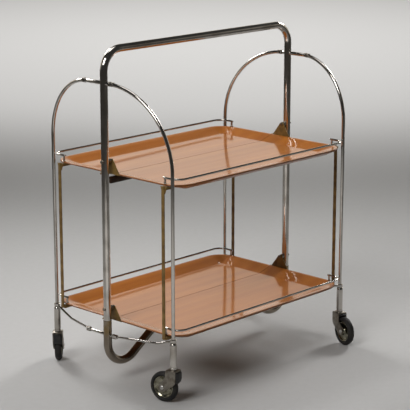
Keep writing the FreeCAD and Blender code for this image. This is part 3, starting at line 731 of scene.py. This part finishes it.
# Guard rails: thin plated rods along the outer edge of each leaf, bent in at both ends onto short posts.
# The posts are peened through the rim over a small washer.
RAIL_RAD = 2.5
RAIL_X = 293
RAIL_Y = 211.4
RAIL_BEND = 25
RAIL_FOOT_Y = 170
RAIL_PAST_FOOT = 5
RAIL_RISE = 14
RAIL_EDGE = 0.9
RAIL_POST = [(0, 0), (3.6, 0), (3.9, 0.3), (3.9, 1.1), (3.2, 1.5), (2.5, 1.6), (2.5, 13.5), (0, 13.5)]
rail_start = RAIL_FOOT_Y - RAIL_PAST_FOOT
rail_lead = RAIL_Y - RAIL_BEND - rail_start
for leaf, (tier, end) in LEAVES.items():
    rim = RIMS[tier]
    way = ENDS[end]
    out = NORTH * way
    rail = Tube(RAIL_RAD, (-RAIL_X, way * rail_start, rim + RAIL_RISE), out, sides=20)
    rail.run(rail_lead).turn(EAST, RAIL_BEND, 90, steps=12).run(2 * (RAIL_X - RAIL_BEND))
    rail.turn(-out, RAIL_BEND, 90, steps=12).run(rail_lead)
    parts = [ease(rail.close(), RAIL_EDGE, segments=3)]
    for sign in SIDES.values():
        parts.append(turned(RAIL_POST, at(sign * RAIL_X, way * RAIL_FOOT_Y, rim), steps=24))
    fit("guard_rail_" + leaf, parts, leaf, "chrome", [chrome], "rail_" + leaf)

# Pivot brackets: triangular steel plates, yellow passivated, riveted to the ends of each leaf.
# Each rises to an eye round the pivot bolt; the back leaf's pair lap outside the front leaf's on a foot.
PIVOTS = {"upper": 540, "lower": 187.5}
LEAF_END = 297
LAP_X = 299.3
BRACKET_THICK = 2
BRACKET_EDGE = 0.35
FRONT_PLATE = [(-28, -32.5, 1.5), (26.85, -32.5, 1.5), (4.4, 4.4, 4.3), (-4.4, 4.4, 4.3)]
BACK_PLATE = [(29.15, -38, 1.2), (37.15, -38, 1.2), (4.4, 4.4, 4.3), (-4.4, 4.4, 4.3)]
FOOT_OUT = 299.5
FOOT_Y = (29.4, 34.9)
FOOT_DROP = (37.8, 29)
FOOT_EDGE = 0.3
STANDING = Matrix(((0, 0, 1, 0), (1, 0, 0, 0), (0, 1, 0, 0), (0, 0, 0, 1)))


def passivated(name, shade, tarnish):
    """Yellow passivated steel gone brown in patches, dull, with fine scratches."""
    material, shader, spot = surface(name, {"Metallic": 0.35})
    patches = spot.noise(45.0, 6.0).rising(0.4, 0.7)
    scratches = spot.noise(1.0, 3.0, (700, 700, 60))
    worn = 0.36 + patches * 0.2 + scratches * 0.1
    coat(shader, spot, patches.blend(shade, tarnish), worn, scratches, 0.04)
    return material


def side_plate(corners, thick, edge, sign, inner, y, z):
    """Plate that stands at the left or right of the trolley, its inner face this far from the middle."""
    x = inner if sign > 0 else -inner - thick
    return plate(corners, thick, edge, at(x, y, z) @ STANDING)


yellow_steel = passivated("yellow_steel", tone(136, 108, 58), tone(98, 75, 40))
for leaf, (tier, end) in LEAVES.items():
    pivot = PIVOTS[tier]
    parts = []
    for sign in SIDES.values():
        if end == "front":
            parts.append(side_plate(FRONT_PLATE, BRACKET_THICK, BRACKET_EDGE, sign, LEAF_END, 0, pivot))
        else:
            parts.append(side_plate(BACK_PLATE, BRACKET_THICK, BRACKET_EDGE, sign, LAP_X, 0, pivot))
            near_x, far_x = sorted((sign * LEAF_END, sign * FOOT_OUT))
            foot_low = (near_x, FOOT_Y[0], pivot - FOOT_DROP[0])
            foot_high = (far_x, FOOT_Y[1], pivot - FOOT_DROP[1])
            parts.append(block(foot_low, foot_high, FOOT_EDGE))
    fit("eye_plates_" + leaf, parts, leaf, "brass", [yellow_steel], "brackets_" + leaf)

# Pivot bolts: steel bolts through both brackets and the post, with a domed head inside, a spacer between
# bracket and post, and a chamfered hexagon nut on the outside.
BOLT = [
    (0, 294), (2, 294.15), (3.4, 294.7), (3.8, 295.7), (3.8, 296.7), (3, 296.7), (3, 301.6), (4.9, 301.6),
    (5.2, 301.9), (5.2, 310), (3, 310), (3, 330.3), (2.4, 331), (0, 331),
]
NUT_RAD = 4.6 * MM
NUT_DEPTH = 3.4 * MM
NUT_X = 328
NUT_EDGE = 0.5


def outwards(sign, y, z):
    """Pose of a profile whose axis points out to the left or right."""
    return at(0, y, z) @ facing(EAST * sign)


parts = []
for pivot in PIVOTS.values():
    for sign in SIDES.values():
        bolt_pose = outwards(sign, 0, pivot)
        parts.append(turned(BOLT, bolt_pose, steps=28))
        nut = bmesh.new()
        bmesh.ops.create_cone(
            nut, cap_ends=True, segments=6, radius1=NUT_RAD, radius2=NUT_RAD, depth=NUT_DEPTH,
            matrix=bolt_pose @ at(0, 0, NUT_X),
        )
        parts.append(ease(nut, NUT_EDGE))
fit("pivot_bolts", parts, "frame", "bright_steel", [fork_steel], "tray_pivot_bolts")

# Tie-bar lugs: small yellow passivated gussets screwed under the rim at the four corners of each tray.
# A headed pin stands out of each for the tie bar to turn on. The upper ones have a tapering ear behind it.
TIE_Y = 174
TIE_DROP = 35.5
LUG_WIDTH = 12
LUG_EDGE = 0.25
LUG_SIDE = [(273, -11.5, 0.2), (303, -11.5, 1.6), (303, -3.6, 1.6), (297, -3.6, 0.2), (273, -10.8, 0.2)]
LUG_EAR = [(-10, -3.7, 0.8), (-4.2, -21, 2), (4.2, -21, 2), (10, -3.7, 0.8)]
LUG_EAR_X = 301.2
LUG_EAR_THICK = 1.6
LUG_EAR_EDGE = 0.3
LUG_PIN = [(0, 300), (2, 300), (2, 305.9), (3.6, 305.9), (4, 306.3), (3.4, 307.1), (1.8, 307.4), (0, 307.4)]
for leaf, (tier, end) in LEAVES.items():
    rim = RIMS[tier]
    y = ENDS[end] * TIE_Y
    parts = []
    for sign in SIDES.values():
        gusset = Matrix(((sign, 0, 0, 0), (0, 0, 1, 0), (0, 1, 0, 0), (0, 0, 0, 1)))
        parts.append(plate(LUG_SIDE, LUG_WIDTH, LUG_EDGE, at(0, y - LUG_WIDTH / 2, rim) @ gusset))
        parts.append(turned(LUG_PIN, outwards(sign, y, PIVOTS[tier] - TIE_DROP), steps=24))
        if tier == "upper":
            parts.append(side_plate(LUG_EAR, LUG_EAR_THICK, LUG_EAR_EDGE, sign, LUG_EAR_X, y, rim))
    fit("gussets_" + leaf, parts, leaf, "brass", [yellow_steel], "tie_lugs_" + leaf)

# Tie bars: flat yellow passivated strips with rounded ends, hung on the pins of an upper and a lower leaf.
# They make the lower leaf fold with the upper one.
TIE_X = 303.3
TIE_THICK = 2.3
TIE_HALF = 4.5
TIE_ROUND = 4.45
TIE_EDGE = 0.4
strip_low = PIVOTS["lower"] - TIE_DROP - TIE_HALF
strip_top = PIVOTS["upper"] - TIE_DROP + TIE_HALF
STRIP = [
    (-TIE_HALF, strip_low, TIE_ROUND), (TIE_HALF, strip_low, TIE_ROUND),
    (TIE_HALF, strip_top, TIE_ROUND), (-TIE_HALF, strip_top, TIE_ROUND),
]
for end, way in ENDS.items():
    for side, sign in SIDES.items():
        strip = side_plate(STRIP, TIE_THICK, TIE_EDGE, sign, TIE_X, way * TIE_Y, 0)
        corner = "%s_%s" % (end, side)
        name = "tie_bar_" + corner
        fit("strip_" + corner, [strip], name, "brass", [yellow_steel], name)

# Studio: a plain pale floor with soft boxes round the trolley, a wide beam on the floor behind it and a
# narrow one on the floor before it, in a dim room with one pale side. The camera has the photograph's view.
VIEW_WAY = Vector((0.723, 0.691, 0))
BEHIND = VIEW_WAY * 5.6
BEFORE = VIEW_WAY * -1.6
FLOOR_HALF = 30.0
DIM_ROOM = (0.045, 0.045, 0.045, 1)
PALE_SIDE = (0.76, 0.71, 0.62, 1)
CAMERA_PLACE = (-2.7365, -2.6278, 1.33)
CAMERA_PITCH = 14.056
CAMERA_YAW = -46.303
SENSOR = 36
FOCAL_PIXELS = 1592.06
PHOTO_PIXELS = 410

floor_finish, floor_shader, floor_spot = surface("floor_paint", {"Specular IOR Level": 0.2})
speckle = floor_spot.noise(60.0, 4.0)
floor_paint = speckle.blend(tone(176, 175, 173), tone(184, 183, 182))
coat(floor_shader, floor_spot, floor_paint, 0.6 + speckle * 0.1, speckle, 0.1)
floor_mesh = bmesh.new()
bmesh.ops.create_grid(floor_mesh, x_segments=2, y_segments=2, size=FLOOR_HALF)
floor_data = bpy.data.meshes.new("floor")
floor_mesh.to_mesh(floor_data)
floor_mesh.free()
floor_data.materials.append(floor_finish)
floor = bpy.data.objects.new("floor", floor_data)
bpy.context.scene.collection.objects.link(floor)


def lamp(kind, name, place, aim, power, settings):
    """Soft lamp aimed at a point."""
    data = bpy.data.lights.new(name, kind)
    data.energy = power
    for setting, value in settings.items():
        setattr(data, setting, value)
    holder = bpy.data.objects.new(name, data)
    holder.matrix_world = Matrix.Translation(place) @ facing(Vector(aim) - Vector(place), "-Z")
    bpy.context.scene.collection.objects.link(holder)


soft_box = {"size": 1.5, "spread": math.radians(80)}
low_box = {"size": 1.0, "spread": math.radians(60)}
wide_beam = {"shadow_soft_size": 0.8, "spot_size": math.radians(76), "spot_blend": 0.4}
near_beam = {"shadow_soft_size": 0.3, "spot_size": math.radians(28), "spot_blend": 0.7}
lamp("AREA", "key_lamp", place=(-2.9, -0.5, 2.6), aim=(0, 0, 0.25), power=17, settings=soft_box)
lamp("AREA", "top_lamp", place=(-0.2, 0.5, 3.4), aim=(0, 0, 0.3), power=4, settings=soft_box)
lamp("AREA", "right_lamp", place=(3.3, 0.3, 2.1), aim=(0, 0, 0.15), power=9, settings=low_box)
lamp("AREA", "back_lamp", place=(0.5, 3.0, 2.2), aim=(0, 0, 0.15), power=8, settings=low_box)
lamp("SPOT", "floor_lamp", place=BEHIND + UP * 5, aim=BEHIND, power=1500, settings=wide_beam)
lamp("SPOT", "front_lamp", place=BEFORE + UP * 4, aim=BEFORE, power=650, settings=near_beam)

surround = bpy.data.worlds.new("surround")
surround.use_nodes = True
bpy.context.scene.world = surround
sky = Socket(surround.node_tree, surround.node_tree.nodes.new("ShaderNodeTexCoord").outputs["Generated"])
pale_side = sky.node("VectorMath", {"operation": "DOT_PRODUCT"}, {0: sky, 1: VIEW_WAY}, 1).rising(-0.1, 0.6)
low_down = sky.height().rising(0.5, 0.3)
room = (pale_side * low_down).blend(DIM_ROOM, PALE_SIDE)
surround.node_tree.links.new(room.output, surround.node_tree.nodes["Background"].inputs["Color"])

camera_data = bpy.data.cameras.new("camera")
camera_data.sensor_width = SENSOR
camera_data.lens = SENSOR * FOCAL_PIXELS / PHOTO_PIXELS
camera = bpy.data.objects.new("camera", camera_data)
pitch = Matrix.Rotation(math.radians(90 - CAMERA_PITCH), 4, "X")
yaw = Matrix.Rotation(math.radians(CAMERA_YAW), 4, "Z")
camera.matrix_world = Matrix.Translation(CAMERA_PLACE) @ yaw @ pitch
bpy.context.scene.collection.objects.link(camera)
bpy.context.scene.camera = camera
bpy.context.scene.view_settings.view_transform = "Standard"
